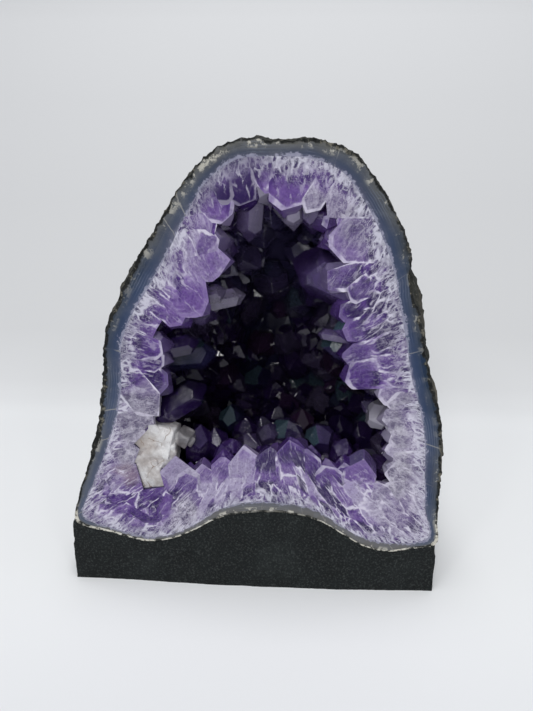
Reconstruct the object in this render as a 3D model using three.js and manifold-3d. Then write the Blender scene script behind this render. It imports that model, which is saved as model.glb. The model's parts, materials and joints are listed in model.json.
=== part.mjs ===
// An amethyst geode, sawn flat and polished in front, standing on a foot of cast cement.
// From outside in it is a husk of basalt, a band of chalcedony, and a crust of amethyst
// points round a deep hollow, with a small cluster of calcite grown on the crust.
// Millimetres, +Z up. The sawn face looks along -Y and the foot stands on z = 0.

import * as THREE from "three";
import { mergeVertices } from "three/addons/utils/BufferGeometryUtils.js";
import Module from "manifold-3d";

const wasm = await Module();
wasm.setup();

// Driving dimensions. "Depth" is measured back from the sawn face.
const STONE_DEPTH = 120; // sawn face to the back of the husk
const VAULT_POWER = 0.8; // 1 is an ellipsoid, less is fuller
const HEART = { x: 6, z: 108 }; // the line that the stone closes in on, at the sawn face
const HEART_DROP = 36; // how much lower that line is at the back
const SMOOTH_FRONT = 18; // the broken surface sets in over this depth behind the sawn face
const SMOOTH_LOW = [28, 62]; // and between these heights, so that the foot fits round it
const BACK_HUSK = 5; // basalt behind the chalcedony
const BACK_BAND = 7; // chalcedony behind the crust
const HOLLOW_DEPTH = 86; // sawn face to the roots of the deepest crystals
const JOINT_GAP = 0.3; // between pieces that touch
const OVERCUT = 4; // how far a cutter reaches past the face that it cuts
const WELL_CLEAR = 400; // a cutter's size where it only has to be bigger than the geode

// The foot is a D seen from above. The stone's middle is arched, and cement fills the arch.
const FOOT_DEPTH = 119;
const FOOT_HALF_WIDTH = 91.5;
const FOOT_POWER = 3.4; // how square the D is
const FOOT_SIDES = 30;
const FOOT_RISE = { left: 33, right: 27.5, back: 43 }; // height of its top edge
const FOOT_DRAFT = 1; // how much each side leans in from the ground to the top edge
const ARCH_FILL = { middle: 6, across: 104, depth: 80, top: 48 };

// How finely the stone is faceted: columns round it, and rows from the face to the back.
const COLUMNS = 44;
const ROWS = 11;
const INSIDE_ROWS = 4;

// The stone's edge on the sawn face, from its lower left corner clockwise.
// Each row: x, z, thickness of the basalt there, thickness of the chalcedony there.
const EDGE = [
  [-88.0, 33.0, 2.0, 3.0],
  [-84.5, 50.0, 2.6, 5.5],
  [-78.5, 66.5, 2.6, 6.0],
  [-71.8, 88.5, 3.6, 5.6],
  [-67.5, 108.0, 2.0, 6.4],
  [-65.0, 130.0, 1.8, 6.0],
  [-59.0, 146.0, 2.2, 6.4],
  [-50.5, 161.0, 4.6, 5.4],
  [-40.5, 176.0, 4.4, 5.4],
  [-31.0, 191.0, 3.6, 6.0],
  [-19.0, 206.0, 3.0, 5.4],
  [-5.0, 213.6, 2.6, 4.4],
  [10.0, 214.6, 2.4, 4.4],
  [27.0, 214.4, 2.8, 4.8],
  [40.5, 210.5, 3.0, 6.0],
  [51.0, 199.5, 3.0, 6.4],
  [61.0, 184.0, 3.4, 6.4],
  [68.0, 167.0, 3.6, 5.6],
  [71.5, 152.0, 3.2, 5.2],
  [76.0, 133.0, 3.0, 4.8],
  [80.0, 115.0, 2.6, 5.4],
  [85.5, 98.0, 2.4, 5.8],
  [88.8, 80.0, 2.2, 5.4],
  [89.6, 60.0, 1.8, 5.0],
  [90.0, 42.0, 1.8, 5.0],
  [90.6, 27.5, 1.8, 3.6],
  [80.0, 24.6, 1.2, 2.6],
  [68.0, 22.2, 1.2, 4.4],
  [56.0, 24.8, 1.2, 4.6],
  [45.0, 31.5, 1.2, 4.6],
  [33.0, 38.8, 1.2, 4.4],
  [16.0, 42.6, 1.2, 4.2],
  [-2.0, 42.2, 1.2, 4.6],
  [-17.0, 38.0, 1.2, 4.8],
  [-28.0, 30.5, 1.2, 3.6],
  [-40.0, 24.4, 1.2, 2.2],
  [-53.0, 22.4, 1.2, 1.6],
  [-70.0, 26.6, 1.2, 1.6],
];

// Where the crystals' tips end round the hollow on the sawn face, clockwise from the lower left.
const TIP_LINE = [
  [-31, 71],
  [-45, 88],
  [-37, 108],
  [-33, 128],
  [-20, 144],
  [-10, 160],
  [-7, 180],
  [10, 187],
  [29, 186],
  [31, 168],
  [36, 146],
  [39, 126],
  [49, 112],
  [60, 100],
  [62, 74],
  [50, 72],
  [30, 77],
  [10, 79],
  [-12, 75],
];
const ROOT_SHARE = 0.46; // how much of the crust, from the tips outward, is free-standing point

// The points that the saw cut lengthwise. Each row: the tip's x and z, the crystal's width
// across flats, how far its axis is behind the sawn face, and the way that it points
// across that face, in degrees from +X towards +Z.
const RIM_POINTS = [
  [-51, 62, 19, 5, 62],
  [-43, 70, 18, 4, 48],
  [-34, 70, 17, 3, 95],
  [-46, 80, 13, 4, 20],
  [-49.5, 84.5, 16, 2, 0],
  [-43.5, 95, 21, 3, -45],
  [-38.5, 104, 15, 2, -40],
  [-35.5, 112, 14, 4, -10],
  [-34.6, 126, 12, 3, 0],
  [-26.2, 137.5, 17, 2, -30],
  [-19.5, 144.5, 19, 4, -30],
  [-7.5, 163.5, 16, 2, 8],
  [-7.4, 175.5, 19, 4, -8],
  [-12.4, 184, 15, 1, -15],
  [-3, 186.5, 14, 3, -60],
  [4.5, 187.5, 12, 3, -85],
  [16.5, 184.5, 19, 3, -92],
  [27, 187.5, 14, 2, -95],
  [32.5, 184, 13, 3, -115],
  [29.6, 173, 23, 4, 182],
  [28, 160, 19, 7, 195],
  [35, 151.5, 15, 3, 190],
  [35.6, 143.5, 13, 2, 200],
  [36.8, 134.5, 15, 2, 195],
  [38.8, 124.5, 14, 3, 185],
  [39.4, 115.5, 17, 3, 190],
  [52, 111, 13, 2, 200],
  [57, 104.5, 12, 6, 120],
  [61.5, 88.5, 18, 2, 180],
  [62, 74, 15, 4, 170],
  [64, 63, 13, 3, 160],
  [52.5, 77.8, 17, 5, 100],
  [43.5, 75.5, 13, 3, 95],
  [34, 73.5, 15, 2, 100],
  [25.5, 78.5, 12, 3, 95],
  [18.6, 83, 12, 4, 90],
  [10.8, 78.5, 13, 2, 90],
  [-1, 78, 16, 1, 88],
  [-12, 75.5, 14, 3, 90],
  [-22, 71.5, 12, 2, 85],
];
const RIM_REACH = 20; // tip to the middle of the root
const RIM_ROOT = 7; // how much further the root goes

// The points that line the hollow behind the sawn face stand in rows round it.
const POINT_SPACING = 17;
const POINT_WIDTH = [14, 20]; // across flats, narrowest and widest
const POINT_REACH = [8, 15]; // root to tip in the hollow, shortest and longest
const POINT_LEAN = 0.22; // how far an axis strays, as a share of its length
const POINT_ROOT = 7; // how deep a point is rooted in the crust
const ROW_ANGLES = [12, 25, 38, 51, 65, 81]; // round the vault, from the face to the back
const ROW_STRAY = 0.09; // how far a point strays from its row, in radians
const GIRTH_STEPS = 48; // places that a row's length is measured at
const TIP_SLOPE = 0.95; // a point's pyramid height over its radius
const TIP_SHIFT = 0.35; // how far the apex strays off the axis, as a share of the radius

// The calcite blocks, each x, depth and z of its middle, then its size along its own
// x, depth and z, then its turn about each of them in degrees.
const CALCITE_BLOCKS = [
  [-47.5, 11, 79, 19, 18, 19, 12, 24, 32],
  [-50, 8, 67, 15, 13, 16, -14, 12, 8],
  [-37, 12, 81, 10, 10, 10, 20, 30, 18],
  [-43, 9, 71, 12, 12, 12, 8, -22, 40],
];

// The same number between 0 and 1 for the same row, place and use.
function chance(row, place, use) {
  const wave = Math.sin(row * 127.1 + place * 311.7 + use * 74.7) * 43758.5453;
  return wave - Math.floor(wave);
}

const between = (low, high, share) => low + (high - low) * share;

// A closed three.js geometry as a solid that can be cut and joined.
function solidOf(geometry) {
  const bare = geometry.clone();
  bare.deleteAttribute("normal");
  bare.deleteAttribute("uv");
  const merged = mergeVertices(bare, 1e-3);
  const corners = [];
  for (let i = 0; i < merged.index.count; i += 3) {
    const [a, b, c] = [0, 1, 2].map((k) => merged.index.getX(i + k));
    if (a !== b && b !== c && c !== a) corners.push(a, b, c);
  }
  return new wasm.Manifold(
    new wasm.Mesh({
      numProp: 3,
      vertProperties: merged.attributes.position.array,
      triVerts: new Uint32Array(corners),
    }),
  );
}

// A solid's faces as a three.js geometry.
function geometryOf(solid) {
  const { vertProperties, triVerts, numProp } = solid.getMesh();
  const geometry = new THREE.BufferGeometry();
  const positions = new THREE.InterleavedBuffer(vertProperties, numProp);
  geometry.setAttribute("position", new THREE.InterleavedBufferAttribute(positions, 3, 0));
  geometry.setIndex(new THREE.BufferAttribute(triVerts, 1));
  const flat = geometry.toNonIndexed();
  flat.computeVertexNormals();
  return flat;
}

// A smooth closed line round the heart, through [x, z, ...] rows.
function lineRound(rows) {
  const corners = rows.map(([x, z]) => new THREE.Vector3(x - HEART.x, 0, z - HEART.z));
  return new THREE.CatmullRomCurve3(corners, true, "centripetal");
}

// The radius of such a line, by angle.
function radiusRound(rows) {
  const places = lineRound(rows).getPoints(rows.length * 12);
  return byAngle(places.map((p) => [Math.atan2(p.z, p.x), Math.hypot(p.x, p.z)]));
}

// Thickness by angle, from one of the columns of EDGE.
function thicknessRound(column) {
  return byAngle(EDGE.map((row) => [Math.atan2(row[1] - HEART.z, row[0] - HEART.x), row[column]]));
}

// A function of the angle that passes through [angle, value] pairs and closes on itself.
function byAngle(pairs) {
  const sorted = [...pairs].sort((a, b) => a[0] - b[0]);
  const [first, last] = [sorted[0], sorted.at(-1)];
  const full = 2 * Math.PI;
  const table = [[last[0] - full, last[1]], ...sorted, [first[0] + full, first[1]]];
  return (angle) => {
    const turned = Math.atan2(Math.sin(angle), Math.cos(angle));
    const next = table.findIndex(([a]) => a > turned);
    const [a0, v0] = table[next - 1];
    const [a1, v1] = table[next];
    return between(v0, v1, (turned - a0) / (a1 - a0));
  };
}

const edgeRadius = radiusRound(EDGE);
const tipRadius = radiusRound(TIP_LINE);
const huskThickness = thicknessRound(2);
const bandThickness = thicknessRound(3);
const insideHusk = (a) => edgeRadius(a) - huskThickness(a);
const insideBand = (a) => insideHusk(a) - bandThickness(a);
const rootRadius = (a) => between(tipRadius(a), insideBand(a), ROOT_SHARE);

// Every layer of the stone has its columns of faces at these angles, evenly along the edge.
const columnAngles = lineRound(EDGE)
  .getSpacedPoints(COLUMNS)
  .map((p) => Math.atan2(p.z, p.x));

// The middle of the stone's section at some depth.
function heartAt(depth) {
  const share = Math.max(depth, 0) / STONE_DEPTH;
  return new THREE.Vector3(HEART.x, depth, HEART.z - HEART_DROP * share * share);
}

// A place in a vault: turn is 0 at the sawn face and 90 degrees at the back.
function vaultPoint(radius, depth, angle, turn) {
  const inward = Math.cos(turn) ** VAULT_POWER;
  const back = depth * Math.sin(turn) ** VAULT_POWER;
  const out = radius(angle) * inward;
  return heartAt(back).add(new THREE.Vector3(Math.cos(angle) * out, 0, Math.sin(angle) * out));
}

// How far broken basalt stands out from the smooth vault: broad swells and smaller knobs.
function ruggedness(p) {
  const swell = Math.sin(p.x / 13 + p.z / 17 + 0.6) + Math.sin(p.y / 15 - p.z / 11 + 2.1);
  const knob = Math.sin(p.x / 6.1 - p.y / 7.3 + 1.2) * Math.sin(p.z / 6.7 + p.x / 9.1);
  return 2.8 + swell + 1.2 * knob;
}

// A flat front at depth 0, or `overcut` in front of it, closed behind by a vault.
function vault({ radius, depth, rows, overcut = 0, rough = false }) {
  const profile = [new THREE.Vector2(0, -overcut)];
  if (overcut > 0) profile.push(new THREE.Vector2(1, -overcut));
  for (let row = 0; row <= rows; row++) {
    const turn = (row / rows) * (Math.PI / 2);
    const inward = row === rows ? 0 : Math.cos(turn) ** VAULT_POWER;
    profile.push(new THREE.Vector2(inward, depth * Math.sin(turn) ** VAULT_POWER));
  }
  const geometry = new THREE.LatheGeometry(profile, COLUMNS);
  const places = geometry.attributes.position;
  for (let i = 0; i < places.count; i++) {
    const [across, back, up] = [places.getX(i), places.getY(i), places.getZ(i)];
    const angle = columnAngles[Math.floor(i / profile.length)];
    const out = radius(angle) * Math.hypot(across, up);
    const outward = new THREE.Vector3(Math.cos(angle), 0, Math.sin(angle));
    const p = heartAt(back).addScaledVector(outward, out);
    if (rough && back > 0) {
      const fade = Math.min(1, back / SMOOTH_FRONT) * THREE.MathUtils.smoothstep(p.z, ...SMOOTH_LOW);
      const away = p.clone().sub(heartAt(back * 0.4)).normalize();
      p.addScaledVector(away, ruggedness(p) * fade);
    }
    places.setXYZ(i, p.x, p.y, p.z);
  }
  return solidOf(geometry);
}

// The outer skin of the largest body, so that sealed voids fill up and loose slivers go.
function soundBody(solid) {
  return solid.decompose().reduce((best, next) => (next.volume() > best.volume() ? next : best));
}

// A six-sided point with its root at the origin, grown along +Y: a prism under a pyramid.
function crystalPoint({ width, reach, root, shift }) {
  const radius = width / 2 / Math.cos(Math.PI / 6);
  const shoulder = Math.max(reach - radius * TIP_SLOPE, -root * 0.5);
  const profile = [
    new THREE.Vector2(0, -root),
    new THREE.Vector2(radius, -root),
    new THREE.Vector2(radius, shoulder),
    new THREE.Vector2(0, reach),
  ];
  const geometry = new THREE.LatheGeometry(profile, 6);
  const places = geometry.attributes.position;
  for (let i = 0; i < places.count; i++) {
    if (places.getY(i) < reach - 1e-3) continue;
    places.setX(i, shift.x * radius);
    places.setZ(i, shift.y * radius);
  }
  return geometry;
}

// Stands a point at `foot`, leaning along `axis` and turned about it.
function standing(geometry, foot, axis, twist) {
  const grown = new THREE.Vector3(0, 1, 0);
  const turn = new THREE.Quaternion().setFromUnitVectors(grown, axis.clone().normalize());
  return geometry
    .rotateY(twist)
    .applyQuaternion(turn)
    .translate(foot.x, foot.y, foot.z);
}

function apexShift(row, place) {
  const way = chance(row, place, 5) * 2 * Math.PI;
  return new THREE.Vector2(Math.cos(way), Math.sin(way)).multiplyScalar(TIP_SHIFT * chance(row, place, 6));
}

// The hand-placed points along the sawn face.
function rimPoints() {
  return RIM_POINTS.map(([x, z, width, behind, degrees], place) => {
    const way = THREE.MathUtils.degToRad(degrees);
    const axis = new THREE.Vector3(Math.cos(way), 0, Math.sin(way));
    const foot = new THREE.Vector3(x, behind, z).addScaledVector(axis, -RIM_REACH);
    const shape = { width, reach: RIM_REACH, root: RIM_ROOT, shift: apexShift(0, place) };
    return standing(crystalPoint(shape), foot, axis, chance(0, place, 4));
  });
}

// The way into the hollow, square to the vault that the points are rooted in.
function inwardAt(angle, turn) {
  const step = 0.05;
  const at = (a, t) => vaultPoint(rootRadius, HOLLOW_DEPTH, a, t);
  const across = at(angle + step, turn).sub(at(angle - step, turn));
  const along = at(angle, Math.min(turn + step, Math.PI / 2)).sub(at(angle, turn - step));
  return across.cross(along).normalize();
}

// The way round the vault of the hollow at some turn.
function girthAt(turn) {
  const ring = [...Array(GIRTH_STEPS).keys()].map((k) =>
    vaultPoint(rootRadius, HOLLOW_DEPTH, (k / GIRTH_STEPS) * 2 * Math.PI, turn),
  );
  return ring.reduce((sum, p, k) => sum + p.distanceTo(ring[(k + 1) % GIRTH_STEPS]), 0);
}

// Rows of points round the vault of the hollow.
function hollowPoints() {
  const points = [];
  ROW_ANGLES.forEach((degrees, i) => {
    const row = i + 1;
    const turn = THREE.MathUtils.degToRad(degrees);
    const count = Math.max(3, Math.round(girthAt(turn) / POINT_SPACING));
    for (let place = 0; place < count; place++) {
      const stray = (use) => chance(row, place, use) - 0.5;
      const angle = ((place + 0.5 * (row % 2) + 0.5 * stray(1)) / count) * 2 * Math.PI;
      const steep = turn + ROW_STRAY * stray(2);
      const foot = vaultPoint(rootRadius, HOLLOW_DEPTH, angle, steep);
      const lean = new THREE.Vector3(stray(7), stray(8), stray(9)).multiplyScalar(2 * POINT_LEAN);
      const axis = inwardAt(angle, steep).add(lean);
      const width = between(...POINT_WIDTH, chance(row, place, 3));
      const reach = between(...POINT_REACH, chance(row, place, 10) ** 1.5);
      const shape = { width, reach, root: POINT_ROOT, shift: apexShift(row, place) };
      points.push(standing(crystalPoint(shape), foot, axis, chance(row, place, 4) * Math.PI));
    }
  });
  return points;
}

// The calcite blocks joined, each grown by `margin` on every side and sawn off at `front`.
function calciteCluster(margin, front) {
  const blocks = CALCITE_BLOCKS.map(([x, depth, z, across, deep, high, ...degrees]) => {
    const turns = new THREE.Euler(...degrees.map(THREE.MathUtils.degToRad));
    const turn = new THREE.Quaternion().setFromEuler(turns);
    const block = new THREE.BoxGeometry(across + 2 * margin, deep + 2 * margin, high + 2 * margin);
    return solidOf(block.applyQuaternion(turn).translate(x, depth, z));
  });
  const behind = new THREE.BoxGeometry(WELL_CLEAR, WELL_CLEAR, WELL_CLEAR);
  return wasm.Manifold.union(blocks).intersect(solidOf(behind.translate(0, front + WELL_CLEAR / 2, 0)));
}

// The foot's outline seen from above, from its right front corner round the back to the left.
function footPlan() {
  const corners = [...Array(FOOT_SIDES + 1).keys()].map((i) => {
    const turn = (i / FOOT_SIDES) * Math.PI;
    const across = Math.sign(Math.cos(turn)) * Math.abs(Math.cos(turn)) ** (2 / FOOT_POWER);
    const back = Math.abs(Math.sin(turn)) ** (2 / FOOT_POWER);
    return new THREE.Vector2(FOOT_HALF_WIDTH * across, FOOT_DEPTH * back);
  });
  return new THREE.Shape(corners);
}

// A box as big as can be above the slanting plane of the foot's top edge.
function footLid() {
  const left = new THREE.Vector3(-FOOT_HALF_WIDTH, 0, FOOT_RISE.left);
  const right = new THREE.Vector3(FOOT_HALF_WIDTH, 0, FOOT_RISE.right);
  const back = new THREE.Vector3(0, FOOT_DEPTH, FOOT_RISE.back);
  const up = right.sub(left).cross(back.sub(left)).normalize();
  return new THREE.BoxGeometry(WELL_CLEAR, WELL_CLEAR, WELL_CLEAR)
    .translate(0, 0, WELL_CLEAR / 2)
    .applyQuaternion(new THREE.Quaternion().setFromUnitVectors(new THREE.Vector3(0, 0, 1), up))
    .translate(left.x, left.y, left.z);
}

// The foot, with the stone's own shape taken out of it.
function cementFoot(stone) {
  const height = FOOT_RISE.back + OVERCUT;
  const block = new THREE.ExtrudeGeometry(footPlan(), { depth: height, bevelEnabled: false });
  const places = block.attributes.position;
  for (let i = 0; i < places.count; i++) {
    const lean = 1 - (FOOT_DRAFT / FOOT_HALF_WIDTH) * (places.getZ(i) / FOOT_RISE.left);
    places.setXY(i, places.getX(i) * lean, places.getY(i) * lean);
  }
  const { middle, across, depth, top } = ARCH_FILL;
  const archFill = new THREE.BoxGeometry(across, depth, top - 1).translate(middle, depth / 2, (top + 1) / 2);
  return soundBody(solidOf(block).subtract(solidOf(footLid())).add(solidOf(archFill)).subtract(stone));
}

// The solids, from outside in.
const body = vault({ radius: edgeRadius, depth: STONE_DEPTH, rows: ROWS, rough: true });
const bodyRoom = vault({
  radius: (a) => edgeRadius(a) + JOINT_GAP,
  depth: STONE_DEPTH + JOINT_GAP,
  rows: ROWS,
  rough: true,
  overcut: OVERCUT,
});
const lining = (radius, depth, overcut) => vault({ radius, depth, rows: INSIDE_ROWS, overcut });
const bandDepth = STONE_DEPTH - BACK_HUSK;
const crustDepth = bandDepth - BACK_BAND;

const husk = body.subtract(lining(insideHusk, bandDepth, OVERCUT));
const band = lining((a) => insideHusk(a) - JOINT_GAP, bandDepth - JOINT_GAP, 0).subtract(
  lining(insideBand, crustDepth, OVERCUT),
);
const crustEnvelope = lining((a) => insideBand(a) - JOINT_GAP, crustDepth - JOINT_GAP, 0);
const hollow = lining(rootRadius, HOLLOW_DEPTH, OVERCUT);
const points = wasm.Manifold.union([...rimPoints(), ...hollowPoints()].map(solidOf));
const crust = soundBody(
  crustEnvelope
    .subtract(hollow)
    .add(points.intersect(crustEnvelope))
    .subtract(calciteCluster(JOINT_GAP, -OVERCUT)),
);
const calcite = calciteCluster(0, 0);
const foot = cementFoot(bodyRoom);

function piece(name, solid, look) {
  const mesh = new THREE.Mesh(geometryOf(solid), new THREE.MeshStandardMaterial(look));
  mesh.name = name;
  return mesh;
}

const geode = new THREE.Group();
geode.add(
  piece("basalt_husk", husk, { color: 0x4a4a42, roughness: 0.95, metalness: 0 }),
  piece("chalcedony_band", band, { color: 0x5d6f8c, roughness: 0.3, metalness: 0 }),
  piece("amethyst_crust", crust, { color: 0x7a55a8, roughness: 0.1, metalness: 0 }),
  piece("calcite_cluster", calcite, { color: 0xd9cfc4, roughness: 0.5, metalness: 0 }),
  piece("cement_foot", foot, { color: 0x26292a, roughness: 0.9, metalness: 0 }),
);

// The origin is on the ground under the middle of the whole.
const extent = new THREE.Box3().setFromObject(geode);
geode.position.set(-(extent.min.x + extent.max.x) / 2, -(extent.min.y + extent.max.y) / 2, -extent.min.z);

export default geode;
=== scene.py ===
import bisect
import json
import math
from types import SimpleNamespace

import bmesh
import bpy
from mathutils import Matrix, Vector, noise

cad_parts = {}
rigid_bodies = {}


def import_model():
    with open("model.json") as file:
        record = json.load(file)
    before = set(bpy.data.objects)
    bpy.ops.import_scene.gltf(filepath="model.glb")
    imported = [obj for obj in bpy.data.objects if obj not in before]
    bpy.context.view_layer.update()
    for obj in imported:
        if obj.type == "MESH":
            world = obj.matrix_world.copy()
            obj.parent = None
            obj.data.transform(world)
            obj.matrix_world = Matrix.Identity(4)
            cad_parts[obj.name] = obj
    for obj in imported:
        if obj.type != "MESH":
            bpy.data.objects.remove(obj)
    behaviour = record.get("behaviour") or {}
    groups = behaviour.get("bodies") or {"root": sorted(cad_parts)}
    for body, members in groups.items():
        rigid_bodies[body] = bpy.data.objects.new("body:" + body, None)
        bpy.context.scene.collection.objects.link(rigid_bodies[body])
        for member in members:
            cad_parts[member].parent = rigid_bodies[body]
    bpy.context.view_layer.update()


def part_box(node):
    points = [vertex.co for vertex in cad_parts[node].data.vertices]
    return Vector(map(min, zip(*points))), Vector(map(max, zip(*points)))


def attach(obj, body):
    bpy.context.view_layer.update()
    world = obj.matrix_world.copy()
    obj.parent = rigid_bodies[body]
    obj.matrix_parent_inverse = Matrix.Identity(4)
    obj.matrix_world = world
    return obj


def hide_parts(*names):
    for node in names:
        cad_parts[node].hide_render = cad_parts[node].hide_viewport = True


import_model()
scene = bpy.context.scene

# Basalt husk. The thin shell of volcanic rock that stayed on the nodule when it was broken
# out of the lava. It is rough and pitted outside, and the saw cut it off flush in front.
# Lengths here are millimetres: x across, y behind the sawn face, z above the ground.
MM = 0.001
foot_low, foot_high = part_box("cement_foot")
STONE_PLACE = Matrix.Translation(
    ((foot_low.x + foot_high.x) / 2, foot_low.y, 0),
) @ Matrix.Scale(MM, 4)

STONE_DEPTH = 120
VAULT_POWER = 0.8
HEART_X, HEART_Z, HEART_DROP = 6, 108, 36
BACK_HUSK = 5
HUSK_INSIDE = STONE_DEPTH - BACK_HUSK
SAW_OVERCUT = 4

# The stone's edge on the sawn face, from its lower left corner clockwise: x, z, thickness
# of the basalt there, thickness of the chalcedony there.
EDGE = [
    (-88, 33.8, 2, 3), (-84.5, 50, 2.6, 5.5), (-78.5, 66.5, 2.6, 6), (-71.8, 88.5, 3.6, 5.6),
    (-67.5, 108, 2, 6.4), (-65, 130, 1.8, 6), (-59, 146, 2.2, 6.4), (-50.5, 161, 4.6, 5.4),
    (-40.5, 176, 4.4, 5.4), (-31, 191, 3.6, 6), (-19, 206, 3, 5.4), (-5, 213.6, 2.6, 4.4),
    (10, 214.6, 2.4, 4.4), (27, 214.4, 2.8, 4.8), (40.5, 210.5, 3, 6), (51, 199.5, 3, 6.4),
    (61, 184, 3.4, 6.4), (68, 167, 3.6, 5.6), (71.5, 152, 3.2, 5.2), (76, 133, 3, 4.8),
    (80, 115, 2.6, 5.4), (85.5, 98, 2.4, 6.2), (88.8, 80, 2.2, 6.6), (89.6, 60, 1.8, 7),
    (90, 42, 1.8, 6.2), (90.6, 27.5, 1.8, 3.6), (80, 24.6, 1.2, 2.6), (68, 22.2, 1.2, 5.4),
    (56, 24.8, 1.2, 6), (45, 31.5, 1.2, 6.4), (33, 38.8, 1.2, 5.4), (16, 42.6, 1.2, 4.2),
    (-2, 42.2, 1.2, 4.6), (-17, 38, 1.2, 4.8), (-28, 31.3, 1.2, 3.6), (-40, 25.5, 1.2, 2.2),
    (-53, 23.6, 1.2, 1.6), (-70, 27.9, 1.2, 1.6),
]


def smooth_line(corners, steps=12):
    """Points of a smooth closed line through the corners."""
    line = []
    for i in range(len(corners)):
        a, b, c, d = (Vector(corners[(i + k) % len(corners)]) for k in (-1, 0, 1, 2))
        ab, bc, cd = (math.sqrt((q - p).length) for p, q in ((a, b), (b, c), (c, d)))
        leaving = ((b - a) / ab - (c - a) / (ab + bc) + (c - b) / bc) * bc
        arriving = ((c - b) / bc - (d - b) / (bc + cd) + (d - c) / cd) * bc
        for step in range(steps):
            t = step / steps
            line.append(
                b * (2 * t**3 - 3 * t**2 + 1) + leaving * (t**3 - 2 * t**2 + t)
                + c * (3 * t**2 - 2 * t**3) + arriving * (t**3 - t**2)
            )
    return line


def round_heart(places):
    """A function of the angle round the heart, through rows of x, z and a value."""
    pairs = sorted((math.atan2(z - HEART_Z, x - HEART_X), value) for x, z, value in places)
    pairs = [(pairs[-1][0] - math.tau, pairs[-1][1])] + pairs + [
        (pairs[0][0] + math.tau, pairs[0][1]),
    ]
    angles = [angle for angle, value in pairs]

    def value_at(angle):
        angle = math.atan2(math.sin(angle), math.cos(angle))
        after = bisect.bisect_right(angles, angle)
        (a, low), (b, high) = pairs[after - 1], pairs[after]
        return low + (high - low) * (angle - a) / (b - a)

    return value_at


def radius_of(corners):
    line = smooth_line([(x, z) for x, z, *rest in corners])
    return round_heart([(p.x, p.y, math.hypot(p.x - HEART_X, p.y - HEART_Z)) for p in line])


edge_radius = radius_of(EDGE)
husk_thickness = round_heart([(x, z, husk) for x, z, husk, band in EDGE])


def inside_husk(angle):
    return edge_radius(angle) - husk_thickness(angle)


def even_angles(count):
    """Angles round the heart that are evenly spaced along the edge."""
    line = smooth_line([(x, z) for x, z, husk, band in EDGE])
    lengths = [0.0]
    for a, b in zip(line, line[1:] + line[:1]):
        lengths.append(lengths[-1] + (b - a).length)
    angles = []
    for k in range(count):
        along = lengths[-1] * k / count
        i = bisect.bisect_right(lengths, along) - 1
        share = (along - lengths[i]) / (lengths[i + 1] - lengths[i])
        p = line[i].lerp(line[(i + 1) % len(line)], share)
        angles.append(math.atan2(p.y - HEART_Z, p.x - HEART_X))
    return angles


def heart_at(depth):
    share = max(depth, 0) / STONE_DEPTH
    return Vector((HEART_X, depth, HEART_Z - HEART_DROP * share * share))


def vault_point(radius, depth, angle, turn):
    """A place in a vault: turn is 0 at the sawn face and a right angle at the back."""
    back = depth * math.sin(turn) ** VAULT_POWER
    out = radius(angle) * math.cos(turn) ** VAULT_POWER
    return heart_at(back) + Vector((math.cos(angle) * out, 0, math.sin(angle) * out))


RING = 94  # the radius of a ring as long as the stone's edge
EDGE_STEPS = 360
ring_cos, ring_sin = (
    round_heart([
        (HEART_X + math.cos(a), HEART_Z + math.sin(a), turn_part(math.tau * k / EDGE_STEPS))
        for k, a in enumerate(even_angles(EDGE_STEPS))
    ])
    for turn_part in (math.cos, math.sin)
)


def seat_at(angle, inset):
    """How far along the edge a place is, kept as a place on a ring, and how far inside a rim."""
    return Vector((RING * ring_cos(angle), RING * ring_sin(angle), inset))


def vault(radius, depth, columns, rows, rings=(0, 1), front=0.0):
    """A closed solid: a flat front at that depth, in rings, and a vault behind it."""
    bm = bmesh.new()
    walls = 1 if front < 0 else 0
    paths = len(rings) - 1 + walls + rows
    bmesh.ops.create_grid(bm, x_segments=columns, y_segments=paths, size=0.5)
    angles = even_angles(columns)
    seats = [seat_at(angle, 0) for angle in angles]
    seat = bm.loops.layers.float_vector.new("seat")
    for vert in bm.verts:
        column = round((vert.co.x + 0.5) * columns)
        path = round((vert.co.y + 0.5) * paths)
        angle = angles[column % columns]
        share = rings[path] if path < len(rings) else 1
        for loop in vert.link_loops:
            loop[seat] = seats[column % columns] + Vector((0, 0, radius(angle) * (1 - share)))
        if path < len(rings):
            out = radius(angle) * share
            vert.co = heart_at(0) + Vector((math.cos(angle) * out, front, math.sin(angle) * out))
        else:
            turn = max(path - len(rings) + 1 - walls, 0) / rows * math.pi / 2
            vert.co = vault_point(radius, depth, angle, turn)
    bmesh.ops.remove_doubles(bm, verts=bm.verts, dist=1e-3)
    bmesh.ops.recalc_face_normals(bm, faces=bm.faces)
    return bm


def object_of(name, bm):
    """A finished body as an object of the scene."""
    mesh = bpy.data.meshes.new(name)
    bm.to_mesh(mesh)
    bm.free()
    made = bpy.data.objects.new(name, mesh)
    scene.collection.objects.link(made)
    return made


def as_modified(piece):
    """Carries out a piece's modifiers and drops them."""
    bpy.context.view_layer.update()
    finished = piece.evaluated_get(bpy.context.evaluated_depsgraph_get())
    mesh = bpy.data.meshes.new_from_object(finished)
    piece.modifiers.clear()
    piece.data = mesh


def joined_or_cut(base, operation, others):
    """Carries out a Boolean of the base with other objects, which it uses up."""
    group = bpy.data.collections.new("boolean_group")
    scene.collection.children.link(group)
    for other in others:
        scene.collection.objects.unlink(other)
        group.objects.link(other)
    change = base.modifiers.new("boolean", "BOOLEAN")
    change.operation = operation
    change.solver = "MANIFOLD"
    change.operand_type = "COLLECTION"
    change.collection = group
    as_modified(base)
    for other in list(group.objects):
        bpy.data.objects.remove(other)
    bpy.data.collections.remove(group)


def cutter(radius, depth, columns=220):
    """A body that hollows the stone out from its sawn face."""
    return object_of("cutter", vault(radius, depth, columns, rows=12, front=-SAW_OVERCUT))


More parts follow.
